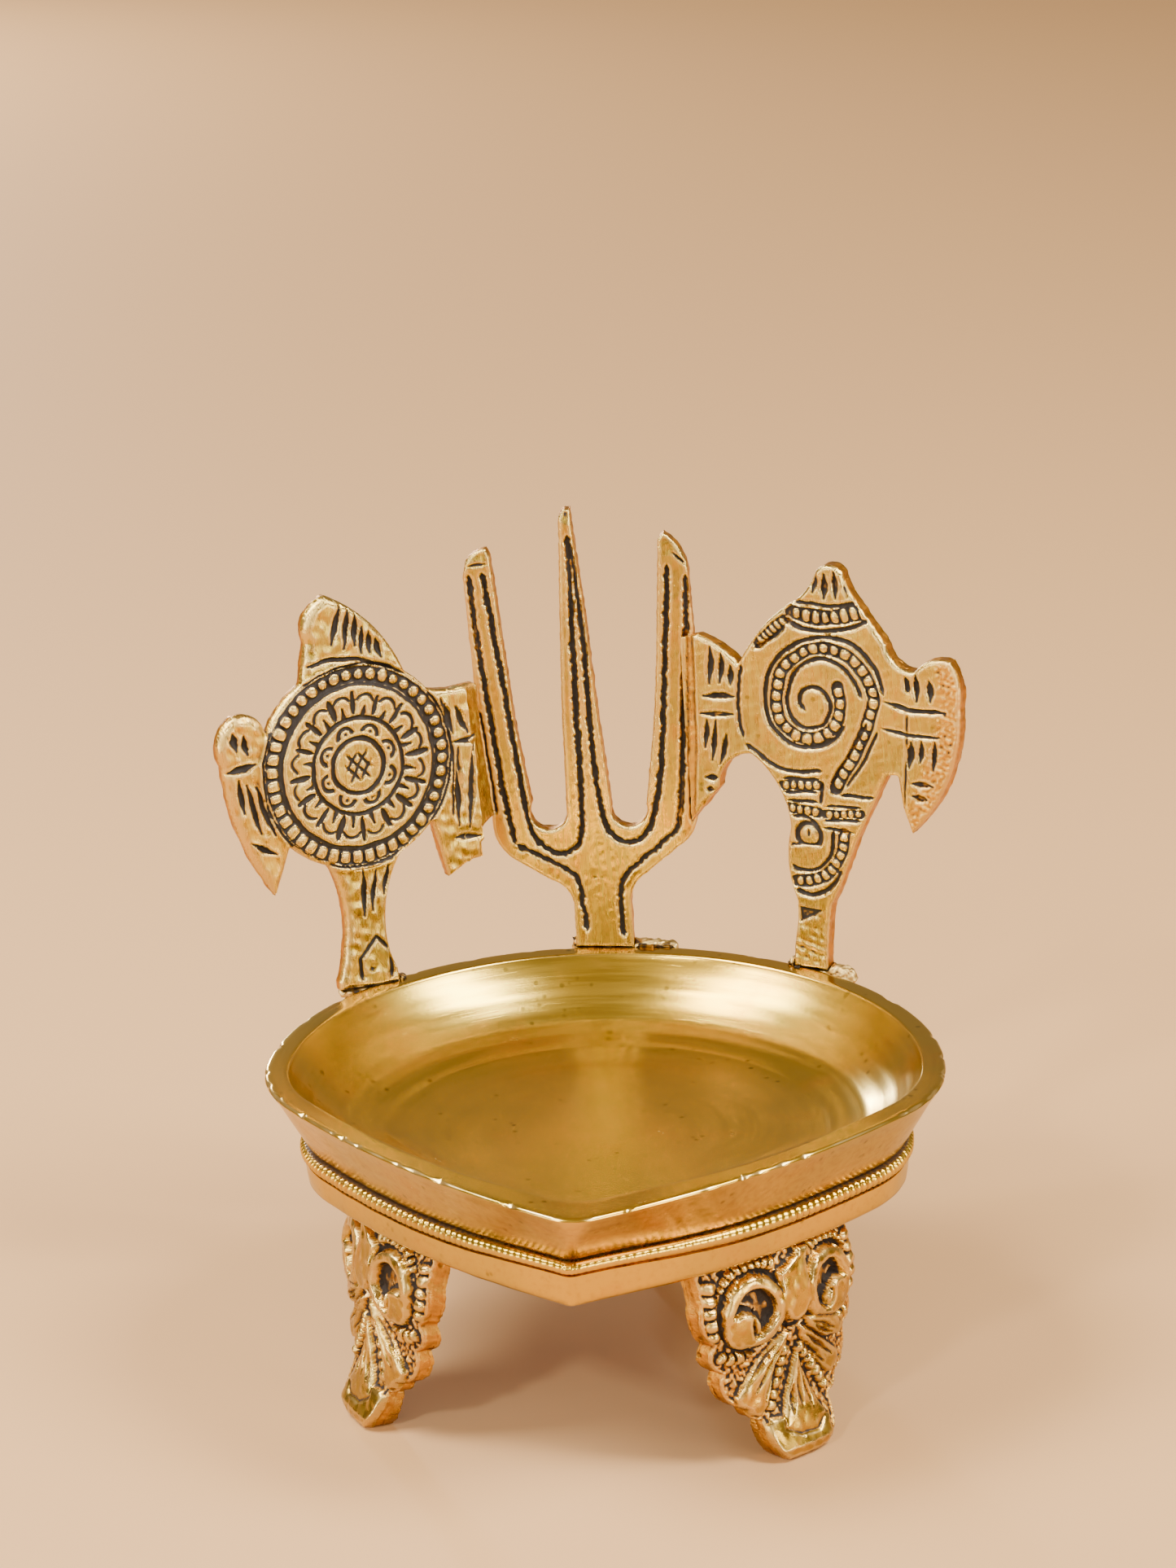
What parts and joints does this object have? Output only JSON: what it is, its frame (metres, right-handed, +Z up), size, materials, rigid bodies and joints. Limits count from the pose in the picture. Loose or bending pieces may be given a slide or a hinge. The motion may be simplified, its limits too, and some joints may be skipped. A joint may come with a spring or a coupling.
{
  "type": "footed brass oil lamp",
  "caption": "Leaf-shaped oil lamp dish with a pointed spout, raised on palmette feet, with a relief crest of wheel, pronged mark and conch along the back of its rim.",
  "frame": {"origin": "on the surface the lamp stands on, under the centre of its bounding box", "axes": "+Z up; the spout points to -Y and the crest stands along +Y; +X is to the right seen from the spout"},
  "size_m": [0.1256, 0.1228, 0.1314],
  "materials": {
    "polished_brass_dish": "turned and hand polished, lightly tarnished",
    "antique_brass_crest": "bright ground faces with dark patina in the recesses",
    "antique_brass_feet": "rough cast, bright high spots with dark patina in the recesses",
    "braze_metal": "pale flowed braze"
  },
  "bodies": {
    "root": {"dish": "polished_brass_dish", "wheel_emblem": "antique_brass_crest", "prong_emblem": "antique_brass_crest", "conch_emblem": "antique_brass_crest", "foot_front_right": "antique_brass_feet", "foot_front_left": "antique_brass_feet", "foot_back": "antique_brass_feet", "braze_wheel_post": "braze_metal", "braze_prong_post": "braze_metal", "braze_conch_post": "braze_metal", "braze_wheel_to_prong": "braze_metal", "braze_conch_to_prong": "braze_metal", "braze_foot_front_right": "braze_metal", "braze_foot_front_left": "braze_metal", "braze_foot_back": "braze_metal"}
  },
  "joints": []
}
